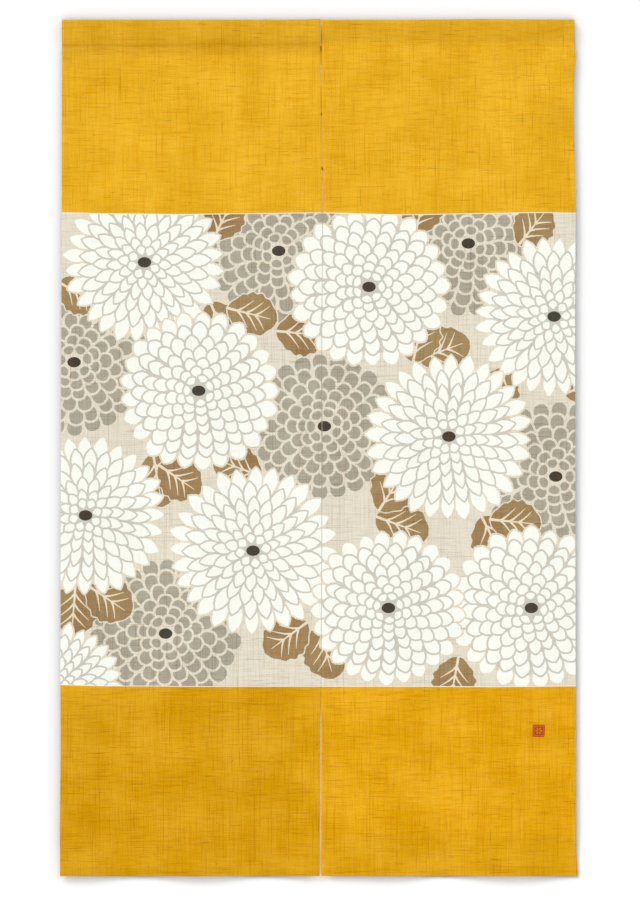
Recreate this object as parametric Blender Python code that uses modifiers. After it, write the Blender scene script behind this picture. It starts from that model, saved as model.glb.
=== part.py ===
"""Noren: a doorway curtain of two hemp panels, joined edge to edge at the top and open below.

Frame: metres, +Z up. The origin is the middle of the top edge, where the curtain hangs from
its rod. The curtain hangs down to -Z and spreads along X, and its printed face looks along -Y.
Each panel is one width of cloth with hems at its sides and foot. Its top is turned to the back
and stitched down, which leaves a flat sleeve, open at both ends, for the rod.
"""

import math
from collections import namedtuple

import bmesh
import bpy

# Sizes of the whole curtain: its drop, and where its upright lines stand at the top and foot
DROP = 1.500
SEAM_LENGTH = 0.275
Line = namedtuple("Line", "at_top at_foot")
LINES = {
    "outer_left": Line(at_top=-0.4492, at_foot=-0.4530),
    "seam": Line(at_top=0.0048, at_foot=0.0036),
    "outer_right": Line(at_top=0.4476, at_foot=0.4505),
}

# Sizes of the cloth and its hems
PLY = 0.0012
HEM_PLY = 0.0020
SIDE_HEM = 0.013
FOOT_HEM = 0.045
HEM_RAMP = 0.001
CLEARANCE = 0.0003

# Sizes of the rod sleeve
SLEEVE_DEPTH = 0.046
SLEEVE_RADIUS = 0.0065
SLEEVE_PINCH = 0.0003

# How finely the solids follow the cloth
SLEEVE_STEPS = 12
SLEEVE_WALL_STEPS = 5
SLEEVE_CREST_STEPS = 8
PANEL_COLUMNS = 18
PANEL_ROWS = 44
ROW_SPREAD = 1.25

# The gap between the two panels: nearly nothing where they are sewn, then an open slit
Gap = namedtuple("Gap", "below width")
SLIT = (
    Gap(below=0.000, width=CLEARANCE),
    Gap(below=SEAM_LENGTH, width=CLEARANCE),
    Gap(below=0.360, width=0.0012),
    Gap(below=1.060, width=0.0014),
    Gap(below=1.125, width=CLEARANCE),
    Gap(below=1.175, width=CLEARANCE),
    Gap(below=1.240, width=0.0024),
    Gap(below=DROP, width=0.0034),
)

# How far each upright line strays from straight, towards +X
Stray = namedtuple("Stray", "line below reach amount")
STRAYS = (
    Stray(line="outer_left", below=1.280, reach=0.070, amount=0.0008),
    Stray(line="outer_right", below=0.070, reach=0.018, amount=0.0024),
    Stray(line="outer_right", below=0.170, reach=0.070, amount=-0.0016),
    Stray(line="outer_right", below=0.340, reach=0.110, amount=0.0016),
    Stray(line="outer_right", below=1.500, reach=0.030, amount=0.0026),
    Stray(line="seam", below=0.340, reach=0.170, amount=0.0028),
    Stray(line="seam", below=0.800, reach=0.350, amount=0.0024),
)

# Where the top edge stands a little above its straight line
Rise = namedtuple("Rise", "panel x reach amount")
RISES = (
    Rise(panel="left", x=0.001, reach=0.022, amount=0.0016),
    Rise(panel="right", x=0.300, reach=0.090, amount=0.0013),
)

# Soft folds that run down the panels; across goes from a panel's left edge, 0, to its right, 1
Fold = namedtuple("Fold", "panel across reach forward begins lean")
FOLDS = (
    Fold(panel="left", across=0.09, reach=0.050, forward=0.0048, begins=0.25, lean=-0.010),
    Fold(panel="left", across=0.30, reach=0.070, forward=-0.0036, begins=0.40, lean=0.012),
    Fold(panel="left", across=0.54, reach=0.060, forward=0.0050, begins=0.18, lean=-0.006),
    Fold(panel="left", across=0.77, reach=0.060, forward=-0.0042, begins=0.50, lean=0.008),
    Fold(panel="left", across=0.98, reach=0.038, forward=0.0046, begins=0.60, lean=0.000),
    Fold(panel="right", across=0.03, reach=0.042, forward=-0.0030, begins=0.55, lean=0.000),
    Fold(panel="right", across=0.24, reach=0.065, forward=0.0044, begins=0.30, lean=0.010),
    Fold(panel="right", across=0.50, reach=0.060, forward=-0.0040, begins=0.35, lean=-0.012),
    Fold(panel="right", across=0.74, reach=0.075, forward=0.0056, begins=0.15, lean=0.006),
    Fold(panel="right", across=0.97, reach=0.040, forward=-0.0038, begins=0.65, lean=0.000),
)
FOLD_GROWTH = 0.45

# How each panel's sleeve and foot hang: the sleeve's front bellies out by its slack
Hang = namedtuple("Hang", "slack slack_at foot_curl foot_reach")
HANGS = {
    "left": Hang(slack=0.0034, slack_at=0.45, foot_curl=0.0030, foot_reach=0.120),
    "right": Hang(slack=0.0006, slack_at=0.30, foot_curl=0.0045, foot_reach=0.095),
}
SLACK_REACH = 0.30

# Dyed hemp, as seen from a step away
CLOTH_YELLOW = (0.78, 0.41, 0.02, 1.0)
CLOTH_ROUGHNESS = 0.85


def ease(t):
    """0 below 0, 1 above 1, and a smooth step between."""
    t = min(1.0, max(0.0, t))
    return t * t * (3.0 - 2.0 * t)


def bump(distance, reach):
    """1 in the middle, falling to nearly nothing at twice the reach."""
    return math.exp(-((distance / reach) ** 2))


def line_x(line, below):
    """The x of one of the curtain's upright lines, that far below the top edge."""
    top, foot = LINES[line]
    straight = top + (foot - top) * below / DROP
    return straight + sum(s.amount * bump(below - s.below, s.reach) for s in STRAYS if s.line == line)


def slit_width(below):
    for upper, lower in zip(SLIT, SLIT[1:]):
        if below <= lower.below:
            share = ease((below - upper.below) / (lower.below - upper.below))
            return upper.width + (lower.width - upper.width) * share
    return SLIT[-1].width


def side_lines(panel, below):
    """The x of the panel's left and right edges, that far below the top edge."""
    seam = line_x("seam", below)
    opening = slit_width(below) / 2
    if panel == "left":
        return line_x("outer_left", below), seam - opening
    return seam + opening, line_x("outer_right", below)


def top_rise(panel, x):
    return sum(r.amount * bump(x - r.x, r.reach) for r in RISES if r.panel == panel)


def fold_forward(panel, x, below):
    """How far the cloth stands forward of its plane, towards the viewer."""
    left, right = side_lines(panel, below)
    forward = 0.0
    for fold in FOLDS:
        if fold.panel == panel:
            crest = left + fold.across * (right - left) + fold.lean * below / DROP
            growth = ease((below - fold.begins) / FOLD_GROWTH)
            forward += fold.forward * growth * bump(x - crest, fold.reach)
    hang = HANGS[panel]
    curl = ease((below - DROP + hang.foot_reach) / hang.foot_reach)
    return forward - hang.foot_curl * curl


def sleeve_section(panel):
    """The sleeve's inner wall as (y, z): up the front, over the rod's place, down the back."""
    hang = HANGS[panel]
    foot = -SLEEVE_DEPTH + PLY
    centre = -PLY - SLEEVE_RADIUS
    turn = math.acos(SLEEVE_RADIUS / (centre - foot)) - math.pi / 2
    front = []
    back = []
    for step in range(SLEEVE_WALL_STEPS):
        t = step / SLEEVE_WALL_STEPS
        z = foot + (centre + SLEEVE_RADIUS * math.sin(turn) - foot) * t
        half = SLEEVE_PINCH + (SLEEVE_RADIUS * math.cos(turn) - SLEEVE_PINCH) * t
        belly = max(0.0, bump(t - hang.slack_at, SLACK_REACH) - bump(hang.slack_at, SLACK_REACH))
        front.append((-half - hang.slack * belly, z))
        back.append((half, z))
    crest = []
    for step in range(SLEEVE_CREST_STEPS + 1):
        angle = turn + (math.pi - 2 * turn) * step / SLEEVE_CREST_STEPS
        crest.append((-SLEEVE_RADIUS * math.cos(angle), centre + SLEEVE_RADIUS * math.sin(angle)))
    return front + crest + back[::-1]


def grid_mesh(columns, rows, place):
    """A grid of columns by rows steps, with each point put where place(column, row) says."""
    mesh = bmesh.new()
    bmesh.ops.create_grid(mesh, x_segments=columns, y_segments=rows, size=1.0)
    for vertex in mesh.verts:
        column = round((vertex.co.x + 1.0) / 2.0 * columns)
        row = round((1.0 - vertex.co.y) / 2.0 * rows)
        vertex.co = place(column, row)
    return mesh


def cloth_material():
    material = bpy.data.materials.new("dyed_hemp")
    material.use_nodes = True
    shader = material.node_tree.nodes["Principled BSDF"]
    shader.inputs["Base Color"].default_value = CLOTH_YELLOW
    shader.inputs["Roughness"].default_value = CLOTH_ROUGHNESS
    shader.inputs["Metallic"].default_value = 0.0
    return material


def new_object(name, mesh, collection, material):
    data = bpy.data.meshes.new(name)
    mesh.to_mesh(data)
    mesh.free()
    data.materials.append(material)
    piece = bpy.data.objects.new(name, data)
    collection.objects.link(piece)
    data.shade_smooth()
    return piece


def add_sleeve(panel, collection, material):
    """The turned-over top: a flat loop of cloth, open at both ends."""
    section = sleeve_section(panel)
    around = len(section)

    def place(column, row):
        y, z = section[column % around]
        left, right = side_lines(panel, -z)
        x = left + (right - left) * row / SLEEVE_STEPS
        lifted = top_rise(panel, x) * ease((z + SLEEVE_DEPTH) / SLEEVE_DEPTH)
        return (x, y, z + lifted)

    mesh = grid_mesh(around, SLEEVE_STEPS, place)
    bmesh.ops.remove_doubles(mesh, verts=mesh.verts, dist=PLY / 100)
    bmesh.ops.recalc_face_normals(mesh, faces=mesh.faces)
    piece = new_object(f"sleeve_{panel}", mesh, collection, material)
    wall = piece.modifiers.new("wall", "SOLIDIFY")
    wall.thickness = PLY
    wall.offset = 1.0
    wall.use_even_offset = True


def panel_columns(left, right):
    """The x of each column: tight beside the side hems, even between them."""
    inner_left = left + SIDE_HEM + HEM_RAMP
    inner_right = right - SIDE_HEM - HEM_RAMP
    steps = PANEL_COLUMNS - 4
    field = [inner_left + (inner_right - inner_left) * i / steps for i in range(steps + 1)]
    return [left, left + SIDE_HEM] + field + [right - SIDE_HEM, right]


def panel_rows():
    """How far below the top edge each row lies: close at the sleeve, wider lower down."""
    top = SLEEVE_DEPTH + CLEARANCE
    hem_top = DROP - FOOT_HEM
    steps = PANEL_ROWS - 3
    field = [top + (hem_top - HEM_RAMP - top) * (i / steps) ** ROW_SPREAD for i in range(steps + 1)]
    return field + [hem_top, DROP - FOOT_HEM / 2, DROP]


def add_panel(panel, collection, material):
    """The hanging cloth below the sleeve, thicker at its hems."""
    rows = panel_rows()
    front_plane = -(SLEEVE_PINCH + PLY)

    def place(column, row):
        below = rows[row]
        x = panel_columns(*side_lines(panel, below))[column]
        return (x, front_plane - fold_forward(panel, x, below), -below)

    mesh = grid_mesh(PANEL_COLUMNS, PANEL_ROWS, place)
    for face in mesh.faces:
        face.normal_update()
        if face.normal.y > 0:
            face.normal_flip()
    piece = new_object(f"panel_{panel}", mesh, collection, material)
    hems = piece.vertex_groups.new(name="hems")
    hem_rise = HEM_RAMP / 2
    for vertex in piece.data.vertices:
        below = -vertex.co.z
        left, right = side_lines(panel, below)
        inside = min(vertex.co.x - left - SIDE_HEM, right - SIDE_HEM - vertex.co.x)
        if inside < hem_rise or below > DROP - FOOT_HEM - hem_rise:
            hems.add([vertex.index], 1.0, "REPLACE")
    ply = piece.modifiers.new("ply", "SOLIDIFY")
    ply.thickness = HEM_PLY
    ply.offset = -1.0
    ply.vertex_group = hems.name
    ply.thickness_vertex_group = PLY / HEM_PLY


def main():
    for old in list(bpy.data.objects):
        bpy.data.objects.remove(old, do_unlink=True)
    curtain = bpy.data.collections.new("noren_curtain")
    bpy.context.scene.collection.children.link(curtain)
    material = cloth_material()
    for panel in HANGS:
        add_sleeve(panel, curtain, material)
        add_panel(panel, curtain, material)


main()
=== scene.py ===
"""Noren: two panels of slubby hemp, dyed in bands, printed with blooms and joined at the top.

Metres, +Z up. The origin is the middle of the top edge, and the printed face looks along -Y.
"""

import math
import random
from collections import namedtuple

import bpy
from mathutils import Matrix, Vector
from mathutils.bvhtree import BVHTree
from mathutils.geometry import delaunay_2d_cdt
from mathutils.kdtree import KDTree


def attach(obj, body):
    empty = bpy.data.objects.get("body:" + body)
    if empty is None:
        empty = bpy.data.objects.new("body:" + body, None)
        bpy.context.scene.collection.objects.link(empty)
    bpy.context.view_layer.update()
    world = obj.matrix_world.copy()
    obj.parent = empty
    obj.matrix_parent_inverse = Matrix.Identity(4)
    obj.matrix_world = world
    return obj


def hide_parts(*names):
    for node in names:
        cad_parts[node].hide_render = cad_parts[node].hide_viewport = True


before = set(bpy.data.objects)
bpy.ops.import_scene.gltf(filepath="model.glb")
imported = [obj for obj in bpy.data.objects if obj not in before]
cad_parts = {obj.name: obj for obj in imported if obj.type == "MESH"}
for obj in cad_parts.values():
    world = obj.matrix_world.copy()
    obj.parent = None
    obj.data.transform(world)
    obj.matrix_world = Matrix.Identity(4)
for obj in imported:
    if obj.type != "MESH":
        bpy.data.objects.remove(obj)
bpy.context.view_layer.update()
random.seed(24)


# How the panels hang. Each is one width of hemp cloth that hangs almost flat from its sleeve,
# in a few shallow folds that deepen downwards. The two are joined edge to edge at the top,
# and below the join the slit between them opens, closes and opens again.

DROP = 1.500
SEAM_LENGTH = 0.275
SEAM_GAP = 0.0003
Line = namedtuple("Line", "at_top at_foot")
LINES = {
    "outer_left": Line(-0.4492, -0.4530),
    "seam": Line(0.0038, 0.0032),
    "outer_right": Line(0.4476, 0.4512),
}
Gap = namedtuple("Gap", "below width")
SLIT = (
    Gap(0.000, SEAM_GAP),
    Gap(SEAM_LENGTH, SEAM_GAP),
    Gap(0.290, 0.0014),
    Gap(0.360, 0.0014),
    Gap(1.060, 0.0014),
    Gap(1.125, SEAM_GAP),
    Gap(1.175, SEAM_GAP),
    Gap(1.240, 0.0026),
    Gap(DROP, 0.0032),
)
Stray = namedtuple("Stray", "line below reach amount")
STRAYS = (
    Stray("outer_left", 1.280, 0.070, 0.0008),
    Stray("outer_right", 0.070, 0.018, 0.0024),
    Stray("outer_right", 0.170, 0.070, -0.0016),
    Stray("outer_right", 0.340, 0.110, 0.0016),
    Stray("outer_right", 1.500, 0.030, 0.0026),
    Stray("seam", 0.340, 0.170, 0.0028),
    Stray("seam", 0.800, 0.350, 0.0024),
)
Rise = namedtuple("Rise", "panel x reach amount")
RISES = (
    Rise("left", 0.001, 0.022, 0.0016),
    Rise("right", 0.300, 0.090, 0.0013),
)
Fold = namedtuple("Fold", "panel across reach forward begins lean")
FOLDS = (
    Fold("left", 0.09, 0.050, 0.0048, 0.25, -0.010),
    Fold("left", 0.30, 0.070, -0.0036, 0.40, 0.012),
    Fold("left", 0.54, 0.060, 0.0050, 0.18, -0.006),
    Fold("left", 0.77, 0.060, -0.0042, 0.50, 0.008),
    Fold("left", 0.98, 0.038, 0.0018, 0.60, 0.000),
    Fold("right", 0.03, 0.042, 0.0008, 0.55, 0.000),
    Fold("right", 0.24, 0.065, 0.0044, 0.30, 0.010),
    Fold("right", 0.50, 0.060, -0.0040, 0.35, -0.012),
    Fold("right", 0.74, 0.075, 0.0056, 0.15, 0.006),
    Fold("right", 0.97, 0.040, -0.0038, 0.65, 0.000),
)
FOLD_GROWTH = 0.45
# Small troughs, forward when positive: pulls at the seam, and creases along the sleeve and foot
Crease = namedtuple("Crease", "panel x below half_length half_width forward slope")
CREASES = (
    Crease("left", -0.022, 0.0440, 0.030, 0.0030, -0.0012, -0.10),
    Crease("left", -0.010, 0.0610, 0.018, 0.0026, -0.0008, 0.06),
    Crease("right", 0.026, 0.0455, 0.016, 0.0026, -0.0012, -0.16),
    Crease("right", 0.034, 0.0690, 0.022, 0.0034, -0.0008, 0.05),
    Crease("left", -0.340, 0.0375, 0.085, 0.0028, -0.0014, 0.004),
    Crease("left", -0.130, 0.0440, 0.110, 0.0028, -0.0014, -0.006),
    Crease("left", -0.200, 0.0535, 0.280, 0.0055, -0.0017, 0.004),
    Crease("right", 0.330, 1.4880, 0.120, 0.0026, -0.0026, -0.008),
    Crease("right", 0.150, 1.4910, 0.080, 0.0024, -0.0020, 0.010),
    Crease("left", -0.340, 1.4900, 0.080, 0.0026, -0.0024, 0.010),
    Crease("left", -0.130, 1.4920, 0.090, 0.0024, -0.0017, -0.008),
)
CREASE_REACH = 3
Hang = namedtuple("Hang", "fullness slack foot_curl foot_reach")
HANGS = {
    "left": Hang(0.6, 0.0028, 0.0030, 0.120),
    "right": Hang(1.0, 0.0000, 0.0045, 0.095),
}


def ease(t):
    """0 below 0, 1 above 1, and a smooth step between."""
    t = min(1.0, max(0.0, t))
    return t * t * (3.0 - 2.0 * t)


def bump(distance, reach):
    """1 in the middle, falling to nearly nothing at twice the reach."""
    return math.exp(-((distance / reach) ** 2))


def line_x(line, below):
    """The x of one of the curtain's upright lines, that far below the top edge."""
    top, foot = LINES[line]
    straight = top + (foot - top) * below / DROP
    return straight + sum(s.amount * bump(below - s.below, s.reach) for s in STRAYS if s.line == line)


def slit_width(below):
    for upper, lower in zip(SLIT, SLIT[1:]):
        if below <= lower.below:
            share = ease((below - upper.below) / (lower.below - upper.below))
            return upper.width + (lower.width - upper.width) * share
    return SLIT[-1].width


def side_lines(panel, below):
    """The x of the panel's left and right edges, that far below the top edge."""
    seam = line_x("seam", below)
    opening = slit_width(below) / 2
    if panel == "left":
        return line_x("outer_left", below), seam - opening
    return seam + opening, line_x("outer_right", below)


def top_rise(panel, x):
    return sum(r.amount * bump(x - r.x, r.reach) for r in RISES if r.panel == panel)


def fold_forward(panel, x, below):
    """How far the cloth stands forward of its plane, towards the viewer."""
    left, right = side_lines(panel, below)
    forward = 0.0
    for fold in FOLDS:
        if fold.panel == panel and below > fold.begins:
            crest = left + fold.across * (right - left) + fold.lean * below / DROP
            growth = ease((below - fold.begins) / FOLD_GROWTH)
            forward += fold.forward * growth * bump(x - crest, fold.reach)
    for crease in CREASES:
        if crease.panel == panel:
            off_line = below - crease.below - crease.slope * (x - crease.x)
            if abs(off_line) < CREASE_REACH * crease.half_width:
                along = bump(x - crease.x, crease.half_length)
                forward += crease.forward * along * bump(off_line, crease.half_width)
    hang = HANGS[panel]
    curl = ease((below - DROP + hang.foot_reach) / hang.foot_reach)
    return forward - hang.foot_curl * curl


# How the cloth is turned. Its sides and foot are turned to the back as hems, and its top goes
# up, over the rod's place and down the back to a line of stitches, which makes the sleeve.
# A spot on the flat cloth is across and down; depth is how far it lies behind the printed face.

CLOTH = 0.0005
SIDE_HEM = 0.013
HEM_EASE = 0.006
FOOT_HEM = 0.045
SIDE_ROUND = 0.0008
FOOT_ROUND = 0.0009
CORNER_ROUND = 0.0019
SLEEVE_DEPTH = 0.046
SLEEVE_ROUND = 0.0077
SLEEVE_PINCH = 0.0017
SLEEVE_BELLY_LEAN = 0.75
SLEEVE_TURN_IN = 0.005
SLEEVE_NIP = 0.0021
SLEEVE_NIP_FROM = 0.028
SLEEVE_WALL_STEPS = 16
SLEEVE_CREST_STEPS = 14


def sleeve_path(panel):
    """The printed face round the sleeve as (y, z), up from its stitches and down the back."""
    hang = HANGS[panel]
    centre = -SLEEVE_ROUND
    turn = math.acos(SLEEVE_ROUND / (SLEEVE_DEPTH - SLEEVE_ROUND)) - math.pi / 2
    shoulder = SLEEVE_ROUND * math.cos(turn) - SLEEVE_PINCH
    rise = SLEEVE_DEPTH + centre + SLEEVE_ROUND * math.sin(turn)
    front = []
    back = []
    for step in range(SLEEVE_WALL_STEPS):
        t = step / SLEEVE_WALL_STEPS
        belly = hang.slack * math.sin(math.pi * t ** SLEEVE_BELLY_LEAN)
        front.append((-SLEEVE_PINCH - shoulder * t ** hang.fullness - belly, rise * t - SLEEVE_DEPTH))
        back.append((SLEEVE_PINCH + shoulder * t, rise * t - SLEEVE_DEPTH))
    crest = []
    for step in range(SLEEVE_CREST_STEPS + 1):
        angle = turn + (math.pi - 2 * turn) * step / SLEEVE_CREST_STEPS
        crest.append((-SLEEVE_ROUND * math.cos(angle), centre + SLEEVE_ROUND * math.sin(angle)))
    end = (SLEEVE_PINCH, -SLEEVE_DEPTH - SLEEVE_TURN_IN)
    return front + crest + back[::-1] + [end]


def run_lengths(path):
    """How far along the path each of its points lies."""
    lengths = [0.0]
    for (ay, az), (by, bz) in zip(path, path[1:]):
        lengths.append(lengths[-1] + math.hypot(by - ay, bz - az))
    return lengths


SLEEVES = {}
for name in HANGS:
    printed_face = sleeve_path(name)
    SLEEVES[name] = (printed_face, run_lengths(printed_face))


def turn_back(along, depth, edge, radius):
    """Cloth that runs up to an edge, turns round it to the back and runs home behind itself."""
    past = along - (edge - radius)
    if past <= 0:
        return along, depth
    inner = radius - depth
    if past < math.pi * radius:
        angle = past / radius
        return edge - radius + inner * math.sin(angle), radius - inner * math.cos(angle)
    return edge - radius - (past - math.pi * radius), 2 * radius - depth


def sleeve_spot(panel, down):
    """Where the printed face stands that far up the sleeve, and which way its back lies."""
    path, lengths = SLEEVES[panel]
    length = min(lengths[-1], max(0.0, SLEEVE_DEPTH - down))
    leg = 1
    while lengths[leg] < length:
        leg += 1
    (ay, az), (by, bz) = path[leg - 1], path[leg]
    run = lengths[leg] - lengths[leg - 1]
    t = (length - lengths[leg - 1]) / run
    return (ay + (by - ay) * t, az + (bz - az) * t), ((bz - az) / run, -(by - ay) / run)


def level(panel, down):
    """How far below the top edge a line across the flat cloth hangs."""
    if down < SLEEVE_DEPTH:
        return -sleeve_spot(panel, down)[0][1]
    return min(down, 2 * DROP - down)


def hang_spot(panel, across, down, depth):
    """The place in the room of a spot on the flat cloth."""
    left, right = side_lines(panel, level(panel, down))
    if across > (left + right) / 2:
        x, behind = turn_back(across, depth, right, SIDE_ROUND)
    else:
        x, behind = turn_back(-across, depth, -left, SIDE_ROUND)
        x = -x
    if down < SLEEVE_DEPTH:
        (y, z), (back_y, back_z) = sleeve_spot(panel, down)
        if y > 0:
            # Away from its side hems, the back of the sleeve is sewn flat against the panel
            inner = ease((min(x - left, right - x) - SIDE_HEM) / HEM_EASE)
            lower = ease((-z - SLEEVE_NIP_FROM) / (SLEEVE_DEPTH - SLEEVE_NIP_FROM))
            y -= SLEEVE_NIP * inner * lower
        y += back_y * behind
        z += back_z * behind
        z += top_rise(panel, x) * ease((z + SLEEVE_DEPTH) / SLEEVE_DEPTH)
    else:
        from_side = min(x - left, right - x)
        corner = ease((SIDE_HEM + HEM_EASE - from_side) / HEM_EASE)
        radius = FOOT_ROUND + (CORNER_ROUND - FOOT_ROUND) * corner
        below, behind = turn_back(down, behind, DROP, radius)
        y = behind - SLEEVE_PINCH
        z = -below
    return Vector((x, y - fold_forward(panel, x, -z), z))


# The dyes: a matt slubby plain weave. Thick and thin threads run both ways and take the dye
# unevenly, so long thin lines cross all over, some darker and a few nearly brown. White is a
# thicker paste that covers the threads.


def group_sockets(group, way, kind, *names):
    for name in names:
        group.interface.new_socket(name, in_out=way, socket_type=f"NodeSocket{kind}")


def node(tree, kind, **values):
    """A node with its settings, and its inputs linked or set by name or number."""
    made = tree.nodes.new(kind)
    inputs = values.pop("inputs", {})
    for name, value in values.items():
        setattr(made, name, value)
    for name, value in inputs.items():
        if isinstance(value, bpy.types.NodeSocket):
            tree.links.new(value, made.inputs[name])
        else:
            made.inputs[name].default_value = value
    return made


def vectors(tree, operation, *values):
    inputs = dict(enumerate(values))
    return node(tree, "ShaderNodeVectorMath", operation=operation, inputs=inputs).outputs[0]


def stretched_noise(tree, place, scale, detail=2.0):
    """Noise drawn out along one way of the cloth: scale is its grain per metre along X, Y and Z."""
    noise = node(tree, "ShaderNodeTexNoise", inputs={
        "Vector": vectors(tree, "MULTIPLY", place, scale), "Scale": 1.0, "Detail": detail})
    return noise.outputs["Fac"]


def band(tree, value, low, high, low_to=0.0, high_to=1.0):
    """The value brought smoothly from the range low to high into another one."""
    made = node(tree, "ShaderNodeMapRange", interpolation_type="SMOOTHSTEP", inputs={
        "Value": value, "From Min": low, "From Max": high, "To Min": low_to, "To Max": high_to})
    return made.outputs[0]


def add(tree, *values):
    total = values[0]
    for value in values[1:]:
        total = node(tree, "ShaderNodeMath", operation="ADD", inputs={0: total, 1: value}).outputs[0]
    return total


def times(tree, a, b):
    return node(tree, "ShaderNodeMath", operation="MULTIPLY", inputs={0: a, 1: b}).outputs[0]


threads = bpy.data.node_groups.new("slubby_threads", "ShaderNodeTree")
group_sockets(threads, "INPUT", "Color", "Dye", "Slub Dye")
group_sockets(threads, "INPUT", "Float", "Slubs", "Mottle")
group_sockets(threads, "OUTPUT", "Color", "Color")
group_sockets(threads, "OUTPUT", "Float", "Roughness", "Height")
source = node(threads, "NodeGroupInput")
place = node(threads, "ShaderNodeTexCoord").outputs["Object"]
# Grain per metre across a thread, along the warp and along the weft, with where and how strongly
# it shows. Dark and pale ones are whole threads, and brown ones are short slubs.
Thread = namedtuple("Thread", "kind fine warp weft low high amount")
THREADS = (
    Thread("dark", 980.0, 11.0, 20.0, 0.54, 0.66, 0.62),
    Thread("dark", 860.0, 6.0, 14.0, 0.61, 0.67, 0.95),
    Thread("pale", 900.0, 10.0, 17.0, 0.53, 0.66, 0.65),
    Thread("brown", 950.0, 15.0, 24.0, 0.665, 0.735, 1.00),
)
THREAD_SHIFT = 3.1
shares = {"dark": 0.0, "pale": 0.0, "brown": 0.0}
for number, thread in enumerate(THREADS):
    shifted = vectors(threads, "ADD", place, (0.0, THREAD_SHIFT * number, 0.0))
    warp = stretched_noise(threads, shifted, (thread.fine, 1.0, thread.warp))
    weft = stretched_noise(threads, shifted, (thread.weft, 1.0, thread.fine))
    for run in (warp, weft):
        shown = times(threads, band(threads, run, thread.low, thread.high), thread.amount)
        shares[thread.kind] = add(threads, shares[thread.kind], shown)
knots = band(threads, stretched_noise(threads, place, (210.0, 1.0, 210.0), 0.0), 0.83, 0.86)
brown = add(threads, shares["brown"], knots)
mottle = band(threads, stretched_noise(threads, place, (11.0, 1.0, 13.0), 3.0), 0.3, 0.7, -1.0, 1.0)
fleck = stretched_noise(threads, place, (520.0, 1.0, 520.0), 1.0)
speckle = band(threads, fleck, 0.3, 0.7, -0.060, 0.060)
# A point attribute on the cloth scales the colour: painted shade where it is doubled or creased, and
# darker and lighter stretches of the lower band
tone = node(threads, "ShaderNodeAttribute", attribute_name="tone").outputs["Fac"]
thin = times(threads, mottle, source.outputs["Mottle"])
uneven = add(threads, 1.0, thin, times(threads, speckle, source.outputs["Slubs"]))
bleached = vectors(threads, "MULTIPLY_ADD", source.outputs["Dye"],
                   (1.055, 1.07, 1.00), (0.000, 0.002, 0.023))
color = source.outputs["Dye"]
for share, other in (
    (shares["pale"], bleached),
    (shares["dark"], source.outputs["Slub Dye"]),
    (times(threads, brown, 0.62), (0.360, 0.150, 0.004, 1.0)),
):
    color = node(threads, "ShaderNodeMix", data_type="RGBA", clamp_factor=True, inputs={
        0: times(threads, share, source.outputs["Slubs"]), 6: color, 7: other}).outputs[2]
color = node(threads, "ShaderNodeVectorMath", operation="SCALE", inputs={
    0: color, "Scale": times(threads, tone, uneven)}).outputs[0]
# Where the dye is thin it is also a little cooler
color = vectors(threads, "MULTIPLY_ADD", thin, (-0.09, 0.07, 0.06), color)
yarns = [
    node(threads, "ShaderNodeTexWave", wave_type="BANDS", bands_direction=way, inputs={
        "Vector": place, "Scale": 330.0, "Distortion": 1.2, "Detail": 1.0, "Detail Scale": 0.4})
    for way in ("X", "Z")]
weave = times(threads, add(threads, yarns[0].outputs["Fac"], yarns[1].outputs["Fac"]), 0.35)
height = add(threads, weave, shares["dark"], times(threads, shares["pale"], 0.6), brown)
node(threads, "NodeGroupOutput", inputs={
    "Color": color,
    "Roughness": band(threads, shares["dark"], 0.0, 0.9, 0.92, 0.80),
    "Height": height,
})

Dye = namedtuple("Dye", "color slub_color slubs mottle relief")
DYES = {
    "yellow": Dye((0.784, 0.425, 0.0160), (0.692, 0.316, 0.0030), 1.00, 0.066, 0.00022),
    "deep_yellow": Dye((0.768, 0.392, 0.0048), (0.657, 0.272, 0.0004), 1.06, 0.080, 0.00022),
    "ground": Dye((0.745, 0.695, 0.570), (0.540, 0.480, 0.370), 0.75, 0.020, 0.00020),
    "white": Dye((0.885, 0.900, 0.825), (0.830, 0.840, 0.750), 0.25, 0.008, 0.00010),
    "petal_line": Dye((0.590, 0.570, 0.500), (0.490, 0.465, 0.400), 0.45, 0.015, 0.00018),
    "grey": Dye((0.415, 0.380, 0.300), (0.270, 0.240, 0.180), 0.85, 0.040, 0.00022),
    "brown": Dye((0.350, 0.232, 0.105), (0.220, 0.132, 0.046), 0.70, 0.090, 0.00018),
    "vein": Dye((0.800, 0.700, 0.530), (0.640, 0.520, 0.360), 0.40, 0.015, 0.00018),
    "eye": Dye((0.064, 0.056, 0.040), (0.036, 0.030, 0.020), 0.50, 0.060, 0.00015),
    "stamp": Dye((0.470, 0.075, 0.014), (0.330, 0.045, 0.006), 0.80, 0.120, 0.00015),
    "stamp_line": Dye((0.640, 0.210, 0.030), (0.480, 0.130, 0.012), 0.80, 0.120, 0.00015),
}


def new_material(name):
    material = bpy.data.materials.new(name)
    material.use_nodes = True
    return material, material.node_tree, material.node_tree.nodes["Principled BSDF"]


def dyed_hemp(name, dye):
    material, tree, shader = new_material(name)
    shader.inputs["Specular IOR Level"].default_value = 0.03
    shader.inputs["Sheen Weight"].default_value = 0.01
    shader.inputs["Sheen Roughness"].default_value = 0.5
    woven = node(tree, "ShaderNodeGroup", node_tree=threads, inputs={
        "Dye": (*dye.color, 1.0), "Slub Dye": (*dye.slub_color, 1.0),
        "Slubs": dye.slubs, "Mottle": dye.mottle})
    relief = node(tree, "ShaderNodeBump", inputs={
        "Strength": 0.6, "Distance": dye.relief, "Height": woven.outputs["Height"]})
    tree.links.new(woven.outputs["Color"], shader.inputs["Base Color"])
    tree.links.new(woven.outputs["Roughness"], shader.inputs["Roughness"])
    tree.links.new(relief.outputs["Normal"], shader.inputs["Normal"])
    return material


dyed = {name: dyed_hemp(f"{name}_hemp", dye) for name, dye in DYES.items()}


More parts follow.
